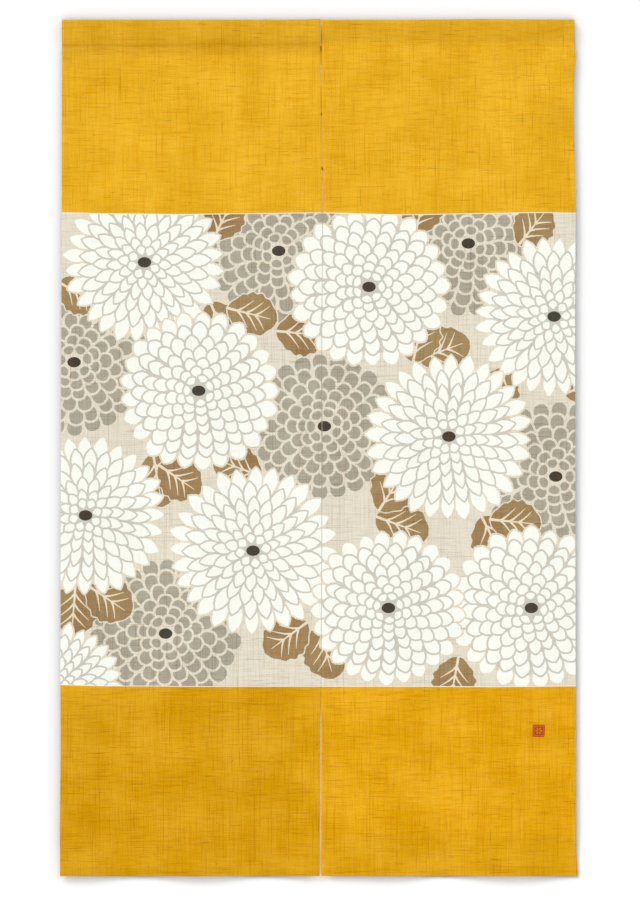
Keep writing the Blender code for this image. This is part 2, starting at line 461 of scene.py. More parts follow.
# The print: resist-dyed blooms and leaves on undyed ground, drawn on the flat cloth before it
# was turned and sewn. Each petal is laid over the ones before it, as an outline in the line's
# colour and a smaller one of its own dye.

BAND_TOP = 0.3400
BAND_FOOT = 1.1670
RESIST_LINE = 0.0012
Wave = namedtuple("Wave", "x reach amount")
BAND_TOP_WAVES = (
    Wave(-0.450, 0.060, -0.0016),
    Wave(-0.240, 0.070, 0.0010),
    Wave(-0.010, 0.080, -0.0016),
    Wave(0.150, 0.070, 0.0018),
    Wave(0.390, 0.080, -0.0018),
)
BAND_FOOT_WAVES = (
    Wave(-0.450, 0.060, -0.0026),
    Wave(-0.110, 0.110, 0.0006),
    Wave(0.260, 0.080, 0.0010),
)
WIDE = 0.50
EDGE_STEPS = 100
printed = []


def wavy(middle, waves):
    """A hand-painted edge right across the cloth, as points that run from left to right."""
    points = []
    for step in range(EDGE_STEPS + 1):
        x = WIDE * (2 * step / EDGE_STEPS - 1)
        points.append((x, middle + sum(w.amount * bump(x - w.x, w.reach) for w in waves)))
    return points


def turned(points, x, below, angle):
    """Points laid out along +X, turned by the angle and set down at x, below."""
    cosine = math.cos(angle)
    sine = math.sin(angle)
    return [(x + px * cosine - py * sine, below + px * sine + py * cosine) for px, py in points]


def mirrored(side):
    """A closed outline from its upper side, which starts and ends on the middle line."""
    return side + [(px, -py) for px, py in side[-2:0:-1]]


PETAL_STEPS = 7
PETAL_LEAN = 1.25


def petal_outline(base, tip, width, fullness, grow):
    """A petal along +X: narrow at its base, widest nearer its tip; fullness rounds its ends."""
    base -= grow
    tip += grow
    side = [(base, 0.0)]
    for step in range(1, PETAL_STEPS):
        along = (1 - math.cos(math.pi * step / PETAL_STEPS)) / 2
        half = (width / 2 + grow) * math.sin(math.pi * along ** PETAL_LEAN) ** fullness
        side.append((base + (tip - base) * along, half))
    side.append((tip, 0.0))
    return mirrored(side)


Ring = namedtuple("Ring", "tip count length")
Bloom = namedtuple("Bloom", "dye line line_width fullness rings")
BLOOMS = {
    "dahlia": Bloom("white", "petal_line", 0.0035, 0.80, (
        Ring(1.00, 28, 0.40), Ring(0.82, 25, 0.38), Ring(0.645, 21, 0.35), Ring(0.48, 16, 0.29),
        Ring(0.335, 12, 0.22), Ring(0.215, 8, 0.135))),
    "pompon": Bloom("white", "petal_line", 0.0035, 0.66, (
        Ring(1.00, 25, 0.30), Ring(0.855, 23, 0.29), Ring(0.71, 20, 0.28), Ring(0.565, 17, 0.25),
        Ring(0.43, 13, 0.21), Ring(0.31, 10, 0.16), Ring(0.205, 7, 0.11))),
    "aster": Bloom("grey", "ground", 0.0042, 0.37, (
        Ring(1.00, 23, 0.27), Ring(0.835, 21, 0.27), Ring(0.67, 17, 0.26), Ring(0.51, 13, 0.23),
        Ring(0.37, 10, 0.19), Ring(0.245, 7, 0.14))),
}
BACKING = 0.86
BACKING_CORNERS = 48
PETAL_WIDEST = 0.6
EYE_WIDTH = 0.0240
EYE_HEIGHT = 0.0185
EYE_RIM = 0.0022


def oval(x, below, width, height, corners=16):
    turns = [2 * math.pi * corner / corners for corner in range(corners)]
    return [(x + width / 2 * math.cos(turn), below + height / 2 * math.sin(turn)) for turn in turns]


def print_bloom(kind, x, below, radius, turn):
    bloom = BLOOMS[kind]
    half_line = bloom.line_width / 2
    backing = 2 * BACKING * radius
    printed.append((bloom.line, oval(x, below, backing, backing, BACKING_CORNERS)))
    for number, ring in enumerate(bloom.rings):
        line = bloom.line if number else "ground"
        for petal in range(ring.count):
            turns = (petal + 0.5 * (number % 2) + random.uniform(-0.07, 0.07)) / ring.count
            tip = radius * ring.tip * random.uniform(0.975, 1.025)
            base = tip - radius * ring.length
            widest = base + PETAL_WIDEST * (tip - base)
            width = 2 * math.pi * widest / ring.count * random.uniform(0.95, 1.05)
            for dye, grow in ((line, half_line), (bloom.dye, -half_line)):
                outline = petal_outline(base, tip, width, bloom.fullness, grow)
                printed.append((dye, turned(outline, x, below, turn + 2 * math.pi * turns)))
    printed.append((bloom.line, oval(x, below, EYE_WIDTH + 2 * EYE_RIM, EYE_HEIGHT + 2 * EYE_RIM)))
    printed.append(("eye", oval(x, below, EYE_WIDTH, EYE_HEIGHT)))


LEAF_STEPS = 26
LEAF_WIDTH = 0.84
LEAF_LEAN = 1.05
LEAF_FULLNESS = 0.62
LEAF_SCALLOP = 0.060
LEAF_SCALLOPS = 11
LEAF_LINE = 0.0024
MIDRIB = 0.0050
MIDRIB_SPOTS = (0.0, 0.3, 0.6, 0.86)
SIDE_VEIN = 0.0040
SIDE_VEIN_SPOTS = (0.0, 0.35, 0.7, 1.0)
SIDE_VEIN_FORWARD = 0.9
SIDE_VEIN_OUT = 0.92
SIDE_VEIN_BEND = 1.25
VEIN_THINNING = 0.8
SideVein = namedtuple("SideVein", "start reach")
SIDE_VEINS = (SideVein(0.20, 0.30), SideVein(0.38, 0.31), SideVein(0.56, 0.26))


def leaf_outline(length, grow):
    """A pointed oval leaf along +X with a softly scalloped edge."""
    side = [(-grow, 0.0)]
    for step in range(1, LEAF_STEPS):
        along = step / LEAF_STEPS
        scallop = 1 + LEAF_SCALLOP * math.sin(along * math.pi * LEAF_SCALLOPS)
        oval_half = math.sin(math.pi * along ** LEAF_LEAN) ** LEAF_FULLNESS
        half = (length * LEAF_WIDTH / 2 + grow) * oval_half * scallop
        side.append((along * (length + 2 * grow) - grow, half))
    side.append((length + grow, 0.0))
    return mirrored(side)


def vein_outline(points, width):
    """A line of bare ground along the points that thins towards its end."""
    upper = []
    lower = []
    last = len(points) - 1
    for number, (px, py) in enumerate(points):
        bx, by = points[max(number - 1, 0)]
        nx, ny = points[min(number + 1, last)]
        run = math.hypot(nx - bx, ny - by)
        half = width / 2 * (1 - VEIN_THINNING * number / last) / run
        upper.append((px - (ny - by) * half, py + (nx - bx) * half))
        lower.append((px + (ny - by) * half, py - (nx - bx) * half))
    return upper + lower[::-1]


def print_leaf(x, below, length, turn):
    def lay(dye, outline):
        printed.append((dye, turned(outline, x, below, turn)))

    lay("ground", leaf_outline(length, LEAF_LINE))
    lay("brown", leaf_outline(length, 0.0))
    lay("vein", vein_outline([(length * t, 0.0) for t in MIDRIB_SPOTS], MIDRIB))
    for vein in SIDE_VEINS:
        for side in (-1, 1):
            points = []
            for t in SIDE_VEIN_SPOTS:
                forward = vein.start + SIDE_VEIN_FORWARD * vein.reach * t
                out = side * length * SIDE_VEIN_OUT * vein.reach * t ** SIDE_VEIN_BEND
                points.append((length * forward, out))
            lay("vein", vein_outline(points, SIDE_VEIN))


Motif = namedtuple("Motif", "kind x below size turn")
MOTIFS = (
    Motif("aster", -0.070, 0.405, 0.128, 0.4),
    Motif("aster", 0.262, 0.392, 0.130, 0.9),
    Motif("aster", -0.428, 0.600, 0.130, 0.2),
    Motif("aster", 0.010, 0.712, 0.130, 0.0),
    Motif("aster", 0.415, 0.800, 0.134, 0.4),
    Motif("aster", -0.268, 1.075, 0.132, 0.1),
    Motif("leaf", -0.190, 0.495, 0.095, 1.15),
    Motif("leaf", -0.160, 0.505, 0.090, 0.25),
    Motif("leaf", -0.455, 0.460, 0.085, 0.50),
    Motif("leaf", 0.175, 0.595, 0.095, -0.35),
    Motif("leaf", 0.165, 0.600, 0.092, -1.35),
    Motif("leaf", 0.330, 0.610, 0.090, 1.95),
    Motif("leaf", -0.075, 0.545, 0.092, 0.10),
    Motif("leaf", -0.100, 0.800, 0.090, 3.50),
    Motif("leaf", -0.290, 0.760, 0.095, 1.40),
    Motif("leaf", -0.280, 0.780, 0.088, 0.60),
    Motif("leaf", 0.100, 0.870, 0.098, 0.35),
    Motif("leaf", 0.105, 0.860, 0.095, -1.00),
    Motif("leaf", 0.285, 0.870, 0.095, 1.10),
    Motif("leaf", 0.300, 0.875, 0.090, 0.10),
    Motif("leaf", -0.425, 0.985, 0.098, 1.65),
    Motif("leaf", -0.405, 0.990, 0.092, 0.60),
    Motif("leaf", 0.000, 1.060, 0.098, 1.30),
    Motif("leaf", -0.020, 1.055, 0.092, 2.50),
    Motif("leaf", 0.245, 1.115, 0.090, 1.75),
    Motif("leaf", 0.430, 0.655, 0.085, -0.35),
    Motif("leaf", 0.165, 0.375, 0.085, -1.20),
    Motif("leaf", 0.350, 0.395, 0.085, -0.90),
    Motif("leaf", -0.185, 0.385, 0.085, -1.10),
    Motif("dahlia", -0.305, 0.425, 0.142, 0.1),
    Motif("pompon", 0.088, 0.468, 0.141, 0.0),
    Motif("dahlia", 0.412, 0.520, 0.140, 0.3),
    Motif("pompon", -0.210, 0.650, 0.140, 0.5),
    Motif("dahlia", 0.228, 0.730, 0.146, 0.7),
    Motif("dahlia", -0.408, 0.868, 0.141, 0.9),
    Motif("pompon", 0.372, 1.030, 0.144, 0.2),
    Motif("dahlia", -0.115, 0.930, 0.148, 0.25),
    Motif("pompon", 0.122, 1.030, 0.136, 0.6),
    Motif("dahlia", -0.460, 1.170, 0.115, 0.0),
)
# The ground reaches under the yellow's edges
GROUND_TOP = BAND_TOP - 0.030
GROUND_FOOT = BAND_FOOT + 0.030
ground = [(-WIDE, GROUND_TOP), (WIDE, GROUND_TOP), (WIDE, GROUND_FOOT), (-WIDE, GROUND_FOOT)]
printed.append(("ground", ground))
for motif in MOTIFS:
    if motif.kind == "leaf":
        print_leaf(motif.x, motif.below, motif.size, motif.turn)
    else:
        print_bloom(*motif)
# Yellow covers the cloth above and below the band, each with a thin white line beside it
YELLOW_UP = -0.60
YELLOW_DOWN = 0.70
for dye, edge, waves, line, away in (
    ("yellow", BAND_TOP, BAND_TOP_WAVES, RESIST_LINE, YELLOW_UP),
    ("deep_yellow", BAND_FOOT, BAND_FOOT_WAVES, -RESIST_LINE, YELLOW_DOWN),
):
    far_side = [(WIDE, edge + away), (-WIDE, edge + away)]
    printed.append(("white", wavy(edge + line / 2, waves) + far_side))
    printed.append((dye, wavy(edge - line / 2, waves) + far_side))

# A small stamp low on the right panel, printed in red over the yellow: a square with cut
# corners, a lighter rim and a plain flower.
STAMP_X = 0.385
STAMP_BELOW = 1.245
STAMP_SIDE = 0.0215
STAMP_CUT = 0.08
STAMP_RIM_OUTSIDE = 0.82
STAMP_RIM_INSIDE = 0.74
STAMP_TURN = 0.03
STAMP_PETALS = 6


def stamp_square(dye, side):
    half = side / 2
    cut = side * STAMP_CUT
    corners = [(-half, cut - half), (cut - half, -half), (half - cut, -half), (half, cut - half),
               (half, half - cut), (half - cut, half), (cut - half, half), (-half, half - cut)]
    printed.append((dye, turned(corners, STAMP_X, STAMP_BELOW, STAMP_TURN)))


stamp_square("stamp", STAMP_SIDE)
stamp_square("stamp_line", STAMP_SIDE * STAMP_RIM_OUTSIDE)
stamp_square("stamp", STAMP_SIDE * STAMP_RIM_INSIDE)
stamp_petal = petal_outline(base=0.0012, tip=0.0068, width=0.0036, fullness=0.8, grow=0.0)
for petal in range(STAMP_PETALS):
    turn = 2 * math.pi * petal / STAMP_PETALS + STAMP_TURN
    printed.append(("stamp_line", turned(stamp_petal, STAMP_X, STAMP_BELOW, turn)))


# The two panels, each one closed sheet of thin cloth. The print is cut into the flat cloth's
# own faces, so that every petal keeps its crisp edge and its dye goes through to the back.

FACE_SIZE = 0.0095
SLEEVE_ROW = 0.0022
UNDER_SLEEVE = 0.050
UNDER_SLEEVE_ROW = 0.0040
OVER_FOOT = 0.030
OVER_FOOT_ROW = 0.0035
FOOT_TURN_ROW = 0.0009
BESIDE_TURN = 0.0040
NEAR = 0.0020
SIDE_REACH = SIDE_HEM + (math.pi - 2) * SIDE_ROUND
FOOT_END = DROP + FOOT_HEM + (math.pi - 2) * FOOT_ROUND
ROUND_STEPS = 4
MERGE = 1e-6


def spaced(start, end, step):
    count = max(1, round(abs(end - start) / step))
    return [start + (end - start) * number / count for number in range(count + 1)]


def row_places(panel):
    """Lines across the flat cloth: close together where it bends round the sleeve and the foot."""
    top = SLEEVE_DEPTH - SLEEVES[panel][1][-1]
    fold = DROP - CORNER_ROUND
    rows = spaced(top, SLEEVE_DEPTH, SLEEVE_ROW)
    rows += spaced(SLEEVE_DEPTH, SLEEVE_DEPTH + UNDER_SLEEVE, UNDER_SLEEVE_ROW)[1:]
    rows += spaced(rows[-1], DROP - OVER_FOOT, FACE_SIZE)[1:]
    rows += spaced(DROP - OVER_FOOT, fold, OVER_FOOT_ROW)[1:]
    rows += spaced(fold, fold + math.pi * CORNER_ROUND, FOOT_TURN_ROW)[1:]
    rows += spaced(rows[-1], FOOT_END, FACE_SIZE)[1:]
    return rows


def side_offsets():
    """Lines down the flat cloth beside an edge, as distances past the edge."""
    bend = [SIDE_ROUND * (math.pi * step / ROUND_STEPS - 1) for step in range(ROUND_STEPS + 1)]
    return [-BESIDE_TURN] + bend + [SIDE_REACH - SIDE_HEM / 2, SIDE_REACH]


def anticlockwise(outline):
    """The outline in the one direction that tells the cutter which side of it is inside."""
    area = sum(ax * by - bx * ay for (ax, ay), (bx, by) in zip(outline, outline[1:] + outline[:1]))
    return outline if area > 0 else outline[::-1]


def visible_edges():
    """The print's edges once every shape lies over the ones before it, and what is where."""
    points = []
    shapes = []
    for _, outline in printed:
        shapes.append(list(range(len(points), len(points) + len(outline))))
        points += [Vector(spot) for spot in anticlockwise(outline)]
    spots, _, cells, _, _, owners = delaunay_2d_cdt(points, [], shapes, 1, MERGE, True)
    dyes = [printed[max(owner)][0] if owner else "yellow" for owner in owners]
    beside = {}
    for cell, dye in zip(cells, dyes):
        for a, b in zip(cell, cell[1:] + cell[:1]):
            beside.setdefault((min(a, b), max(a, b)), []).append(dye)
    edges = [edge for edge, pair in beside.items() if len(set(pair)) == 2]
    flat = [(spot.x, spot.y, 0.0) for spot in spots]
    return spots, edges, BVHTree.FromPolygons(flat, cells), dyes


PRINT_SPOTS, PRINT_EDGES, PRINT_TREE, PRINT_DYES = visible_edges()


def dye_at(across, down):
    _, _, cell, _ = PRINT_TREE.ray_cast(Vector((across, down, 1.0)), Vector((0.0, 0.0, -1.0)))
    return "yellow" if cell is None else PRINT_DYES[cell]


def flat_cloth(panel):
    """The flat cloth's spots, its triangles and the dye of each."""
    rows = row_places(panel)
    sides = [side_lines(panel, level(panel, row)) for row in rows]
    west = min(left for left, _ in sides) - SIDE_REACH
    east = max(right for _, right in sides) + SIDE_REACH
    points = []
    lines = []
    used = {}
    for edge in PRINT_EDGES:
        if all(west < PRINT_SPOTS[end].x < east for end in edge):
            for end in edge:
                if end not in used:
                    used[end] = len(points)
                    points.append(PRINT_SPOTS[end])
            lines.append((used[edge[0]], used[edge[1]]))
    near = KDTree(max(1, len(points)))
    for number, point in enumerate(points):
        near.insert((point.x, point.y, 0.0), number)
    near.balance()
    columns = round((sides[0][1] - sides[0][0]) / FACE_SIZE)
    rim_left = []
    rim_right = []
    for row, (left, right) in zip(rows, sides):
        for side, sign, rim in ((left, -1, rim_left), (right, 1, rim_right)):
            for offset in side_offsets():
                points.append(Vector((side + sign * offset, row)))
            rim.append(len(points) - 1)
        for column in range(1, columns):
            spot = Vector((left + (right - left) * column / columns, row))
            if near.find((spot.x, spot.y, 0.0))[2] > NEAR:
                points.append(spot)
    for rim in (rim_left, rim_right):
        for start, end in zip(rim, rim[1:]):
            for back in range(len(side_offsets()) - 1):
                lines.append((start - back, end - back))
    outline = rim_left[::-1] + rim_right
    spots, _, cells, _, _, owners = delaunay_2d_cdt(points, lines, [outline], 1, MERGE, True)
    cells = [cell for cell, owner in zip(cells, owners) if owner]
    dyes = []
    for cell in cells:
        middle = sum((spots[corner] for corner in cell), Vector((0.0, 0.0))) / 3
        dyes.append(dye_at(middle.x, middle.y))
    return spots, cells, dyes


# Painted shade, multiplied into the dye. It is darker where doubled cloth lets less light through,
# in the sleeves and the right panel's foot hem. It is darker in the crease under the left sleeve, in
# two patches below the sleeves and along the fold at each panel's foot. The lower band is also darker
# on the left panel and by its left edge, a little darker on the right, and lighter in a strip beside
# the left panel's slit.
ShadeTonePatch = namedtuple("ShadeTonePatch", "panel x half_width top foot soft tone")
SHADE_TONE_PATCHES = (
    ShadeTonePatch("left", -0.220, 0.30, -0.200, 0.040, 0.012, 0.882),
    ShadeTonePatch("left", -0.220, 0.30, 0.039, 0.062, 0.011, 0.890),
    ShadeTonePatch("left", -0.420, 0.07, 0.050, 0.080, 0.014, 0.945),
    ShadeTonePatch("right", 0.220, 0.30, -0.200, 0.040, 0.010, 0.900),
    ShadeTonePatch("right", 0.415, 0.03, 0.140, 0.190, 0.014, 0.960),
    ShadeTonePatch("left", -0.220, 0.30, 1.167, 1.700, 0.002, 0.870),
    ShadeTonePatch("left", -0.430, 0.05, 1.180, 1.700, 0.025, 0.965),
    ShadeTonePatch("left", -0.015, 0.022, 1.167, 1.430, 0.004, 1.035),
    ShadeTonePatch("right", 0.220, 0.30, 1.167, 1.700, 0.002, 0.978),
    ShadeTonePatch("right", 0.220, 0.30, 1.425, 1.700, 0.012, 0.945),
    ShadeTonePatch("left", -0.220, 0.30, 1.4910, 1.4975, 0.003, 0.925),
    ShadeTonePatch("right", 0.220, 0.30, 1.4905, 1.4970, 0.003, 0.925),
)


# The painted shade at a spot on the flat cloth, with the lower band's darker and lighter stretches
def shade_tone_at(panel, across, down):
    tone = 1.0
    for patch in SHADE_TONE_PATCHES:
        if patch.panel == panel:
            beside = ease((patch.half_width - abs(across - patch.x)) / patch.soft + 0.5)
            under = ease((down - patch.top) / patch.soft + 0.5)
            above = ease((patch.foot - down) / patch.soft + 0.5)
            tone *= 1 + (patch.tone - 1) * beside * (under * above)
    return tone


def placed(name, data):
    """An object of that name, in the scene."""
    piece = bpy.data.objects.new(name, data)
    bpy.context.scene.collection.objects.link(piece)
    return piece


def hung_cloth(panel):
    """The flat cloth given its thickness, turned, sewn and hung."""
    spots, cells, dyes = flat_cloth(panel)
    count = len(spots)
    places = [hang_spot(panel, spot.x, spot.y, 0.0) for spot in spots]
    places += [hang_spot(panel, spot.x, spot.y, CLOTH) for spot in spots]
    order = list(dyed)
    faces = []
    finishes = []
    rim = {}
    for (a, b, c), dye in zip(cells, dyes):
        faces.append((a, c, b))
        faces.append((a + count, b + count, c + count))
        finishes += [order.index(dye)] * 2
        for edge in ((a, b), (b, c), (c, a)):
            if edge[::-1] in rim:
                del rim[edge[::-1]]
            else:
                rim[edge] = order.index(dye)
    for (a, b), finish in rim.items():
        faces.append((a, b, b + count, a + count))
        finishes.append(finish)
    data = bpy.data.meshes.new(f"cloth_{panel}")
    data.from_pydata(places, [], faces)
    for material in dyed.values():
        data.materials.append(material)
    data.polygons.foreach_set("material_index", finishes)
    # Each spot carries its painted shade as a point attribute, for both faces
    shade_tones = [shade_tone_at(panel, spot.x, spot.y) for spot in spots]
    data.attributes.new("tone", "FLOAT", "POINT").data.foreach_set("value", shade_tones * 2)
    data.shade_smooth()
    data.validate()
    return placed(f"cloth_{panel}", data)


for panel in HANGS:
    left, right = side_lines(panel, DROP / 2)
    cloth = hung_cloth(panel)
    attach(cloth, "root")
    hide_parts(f"panel_{panel}", f"sleeve_{panel}")


# The sewing: cotton thread worked by hand. Running stitches hold the sleeves and foot hems, and
# tiny blind ones the side hems. Whip stitches join the panels edge to edge, mostly in pale
# thread, with dark tacks below the sleeves, midway and above the slit.

THREAD_RADIUS = 0.00024
THREAD_SIDES = 6
STITCH_STEPS = 5
STITCH_LIFT = 0.00030
STITCH_SINK = 0.00012
STITCH_DRIFT = 0.0003
WHIP_SHOULDER = 0.6

twist = bpy.data.node_groups.new("twisted_thread", "ShaderNodeTree")
group_sockets(twist, "INPUT", "Color", "Thread")
group_sockets(twist, "OUTPUT", "Color", "Color")
group_sockets(twist, "OUTPUT", "Float", "Height")
source = node(twist, "NodeGroupInput")
place = node(twist, "ShaderNodeTexCoord").outputs["Object"]
plies = node(twist, "ShaderNodeTexWave", wave_type="BANDS", bands_direction="DIAGONAL", inputs={
    "Vector": place, "Scale": 420.0, "Distortion": 0.6})
wear = node(twist, "ShaderNodeTexNoise", inputs={"Vector": place, "Scale": 190.0})
worn = times(twist, wear.outputs["Fac"], 0.20)
# The thread's colour is painted darker in the grooves between its plies, as shade, and patchily with
# wear
ply_shade_and_wear = add(twist, times(twist, plies.outputs["Fac"], 0.22), worn, 0.72)
shaded = node(twist, "ShaderNodeVectorMath", operation="SCALE", inputs={
    0: source.outputs["Thread"], "Scale": ply_shade_and_wear}).outputs[0]
node(twist, "NodeGroupOutput", inputs={"Color": shaded, "Height": plies.outputs["Fac"]})

THREADS_SEWN = {
    "yellow_thread": (0.700, 0.360, 0.012),
    "natural_thread": (0.720, 0.680, 0.560),
    "pale_thread": (0.980, 0.890, 0.600),
    "dark_thread": (0.300, 0.140, 0.010),
}


def sewing_thread(name, color):
    material, tree, shader = new_material(name)
    shader.inputs["Roughness"].default_value = 0.75
    shader.inputs["Specular IOR Level"].default_value = 0.20
    twisted = node(tree, "ShaderNodeGroup", node_tree=twist, inputs={"Thread": (*color, 1.0)})
    relief = node(tree, "ShaderNodeBump", inputs={
        "Strength": 0.6, "Distance": 0.0001, "Height": twisted.outputs["Height"]})
    tree.links.new(twisted.outputs["Color"], shader.inputs["Base Color"])
    tree.links.new(relief.outputs["Normal"], shader.inputs["Normal"])
    return material


strands = {name: [] for name in THREADS_SEWN}


def stitch(thread, panel, start, end):
    """One stitch on the flat cloth's printed face, which dips into the cloth at both ends."""
    path = []
    for step in range(STITCH_STEPS):
        t = step / (STITCH_STEPS - 1)
        rise = (STITCH_LIFT + STITCH_SINK) * math.sin(math.pi * t) - STITCH_SINK
        across = start[0] + (end[0] - start[0]) * t
        down = start[1] + (end[1] - start[1]) * t
        path.append(hang_spot(panel, across, down, -rise))
    strands[thread].append(path)


def running_stitches(thread, panel, start, end, pitch, length):
    """A hand-sewn row from start to end, none of its stitches quite alike."""
    run = math.hypot(end[0] - start[0], end[1] - start[1])
    ways = ((end[0] - start[0]) / run, (end[1] - start[1]) / run)
    for number in range(int(run / pitch)):
        begin = (number + 0.2 + random.uniform(-0.08, 0.08)) * pitch
        stop = begin + length * random.uniform(0.85, 1.15)
        drift = random.uniform(-STITCH_DRIFT, STITCH_DRIFT)
        ends = []
        for spot in (begin, stop):
            across = start[0] + ways[0] * spot - ways[1] * drift
            ends.append((across, start[1] + ways[1] * spot + ways[0] * drift))
        stitch(thread, panel, *ends)


def whip_stitch(thread, below, reach, slant, lift):
    """One stitch over the join, from the left panel's edge to the right panel's."""
    left = side_lines("left", below)[1]
    right = side_lines("right", below)[0]
    path = [
        hang_spot("left", left - reach, below - slant, STITCH_SINK),
        hang_spot("left", left - WHIP_SHOULDER * reach, below - WHIP_SHOULDER * slant, -lift),
        hang_spot("right", right + WHIP_SHOULDER * reach, below + WHIP_SHOULDER * slant, -lift),
        hang_spot("right", right + reach, below + slant, STITCH_SINK),
    ]
    strands[thread].append(path)


SLEEVE_SEAM = SLEEVE_DEPTH - 0.0005
FOOT_SEAM = DROP - FOOT_HEM + 0.0015
SIDE_SEAM = SIDE_HEM - 0.0015
STITCH_LENGTH = 0.0022
STITCH_PITCH = 0.0062
BLIND_LENGTH = 0.0009
BLIND_PITCH = 0.0110
BLIND_STEP = 0.050
BLIND_RUN = 0.046
SEAM_END = 0.004
FOLD_ALLOWANCE = (math.pi - 2) * FOOT_ROUND
for panel in HANGS:
    _, lengths = SLEEVES[panel]
    back_of_sleeve = SLEEVE_DEPTH - lengths[-2]
    back_of_foot = 2 * DROP - FOOT_SEAM + FOLD_ALLOWANCE
    for level_down in (SLEEVE_SEAM, back_of_sleeve, FOOT_SEAM, back_of_foot):
        left, right = side_lines(panel, level(panel, level_down))
        ends = ((left + SEAM_END, level_down), (right - SEAM_END, level_down))
        running_stitches("yellow_thread", panel, *ends, STITCH_PITCH, STITCH_LENGTH)
    for top, foot, thread in (
        (SLEEVE_DEPTH, BAND_TOP, "yellow_thread"),
        (BAND_TOP, BAND_FOOT, "natural_thread"),
        (BAND_FOOT, FOOT_SEAM, "yellow_thread"),
    ):
        for side, inwards in ((0, 1), (1, -1)):
            for start in spaced(top + SEAM_END, foot - BLIND_STEP, BLIND_STEP):
                ends = [(side_lines(panel, below)[side] + inwards * SIDE_SEAM, below)
                        for below in (start, start + BLIND_RUN)]
                running_stitches(thread, panel, *ends, BLIND_PITCH, BLIND_LENGTH)

SeamRun = namedtuple("SeamRun", "thread top foot pitch reach lift")
SEAM_RUNS = (
    SeamRun("pale_thread", 0.0035, 0.0080, 0.0034, 0.0010, 0.00045),
    SeamRun("pale_thread", 0.0100, 0.0240, 0.0032, 0.0014, 0.00060),
    SeamRun("pale_thread", 0.0270, 0.0440, 0.0036, 0.0010, 0.00045),
    SeamRun("dark_thread", 0.0470, 0.0545, 0.0011, 0.0012, 0.00045),
    SeamRun("yellow_thread", 0.0560, 0.0790, 0.0034, 0.0011, 0.00030),
    SeamRun("pale_thread", 0.0800, 0.0990, 0.0028, 0.0013, 0.00055),
    SeamRun("pale_thread", 0.1020, 0.1150, 0.0036, 0.0010, 0.00036),
    SeamRun("yellow_thread", 0.1180, 0.1540, 0.0040, 0.0010, 0.00030),
    SeamRun("dark_thread", 0.1640, 0.1670, 0.0011, 0.0011, 0.00040),
    SeamRun("pale_thread", 0.1700, 0.2560, 0.0036, 0.0011, 0.00034),
    SeamRun("dark_thread", 0.2595, 0.2635, 0.0011, 0.0013, 0.00040),
    SeamRun("pale_thread", 0.2660, 0.2740, 0.0020, 0.0012, 0.00034),
)
for run in SEAM_RUNS:
    for below in spaced(run.top, run.foot, run.pitch):
        reach = run.reach * random.uniform(0.8, 1.2)
        slant = random.uniform(0.0007, 0.0013)
        whip_stitch(run.thread, below, reach, slant, run.lift)


def thread_mesh(paths):
    """Round strands along the paths, closed at their ends."""
    spots = []
    faces = []
    for path in paths:
        base = len(spots)
        for number, spot in enumerate(path):
            along = (path[min(number + 1, len(path) - 1)] - path[max(number - 1, 0)]).normalized()
            side = along.cross(Vector((0.0, 1.0, 0.0))).normalized()
            up = side.cross(along)
            for corner in range(THREAD_SIDES):
                angle = 2 * math.pi * corner / THREAD_SIDES
                spots.append(spot + (side * math.cos(angle) + up * math.sin(angle)) * THREAD_RADIUS)
        for ring in range(len(path) - 1):
            near = base + ring * THREAD_SIDES
            far = near + THREAD_SIDES
            for corner in range(THREAD_SIDES):
                beside = (corner + 1) % THREAD_SIDES
                faces.append((near + corner, near + beside, far + beside, far + corner))
        faces.append(tuple(range(base + THREAD_SIDES - 1, base - 1, -1)))
        last = base + (len(path) - 1) * THREAD_SIDES
        faces.append(tuple(range(last, last + THREAD_SIDES)))
    return spots, faces


for name, color in THREADS_SEWN.items():
    spots, faces = thread_mesh(strands[name])
    data = bpy.data.meshes.new(name)
    data.from_pydata(spots, [], faces)
    data.materials.append(sewing_thread(name, color))
    data.shade_smooth()
    stitches = placed(f"{name}_stitches", data)
    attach(stitches, "root")


# The setting: a pale wall that catches the curtain's soft shadow, a pale floor well below the
# hem, a broad lamp up to the left and an even white room.

WALL_GAP = 0.0122
WALL_HALF = 1.2
WALL_TOP = 0.4
WALL_FOOT = -1.85
FLOOR_HALF = 6
FLOOR_Z = -1.90
STAGE_ROW = 0.030


def plain_paint(name, color):
    material, _, shader = new_material(name)
    shader.inputs["Base Color"].default_value = (*color, 1.0)
    shader.inputs["Roughness"].default_value = 0.9
    shader.inputs["Specular IOR Level"].default_value = 0.0
    return material


def show_only(material, shader, where, but_where):
    """Show the shader where the first value is 1 and the second is 0, and nothing elsewhere."""
    tree = material.node_tree
    share = node(tree, "ShaderNodeMath", operation="SUBTRACT", use_clamp=True, inputs={
        0: where, 1: but_where})
    clear = node(tree, "ShaderNodeBsdfTransparent")
    mixed = node(tree, "ShaderNodeMixShader", inputs={
        0: share.outputs[0], 1: clear.outputs[0], 2: shader.outputs[0]})
    tree.links.new(mixed.outputs[0], tree.nodes["Material Output"].inputs["Surface"])


def staged(name, spots, faces, material):
    data = bpy.data.meshes.new(name)
    data.from_pydata(spots, [], faces)
    data.materials.append(material)
    placed(name, data)


def hanging_faces(rows, columns, first=0):
    """Faces over rows of spots from the top down, which look towards the viewer."""
    faces = []
    for row in range(1, rows):
        for column in range(1, columns):
            spot = first + row * columns + column
            above = spot - columns
            faces.append((spot, above, above - 1, spot - 1))
    return faces


floor = [(x * FLOOR_HALF, y * FLOOR_HALF, FLOOR_Z) for x, y in ((-1, -1), (1, -1), (1, 1), (-1, 1))]
staged("floor", floor, [(0, 1, 2, 3)], plain_paint("pale_floor", (0.9, 0.9, 0.9)))

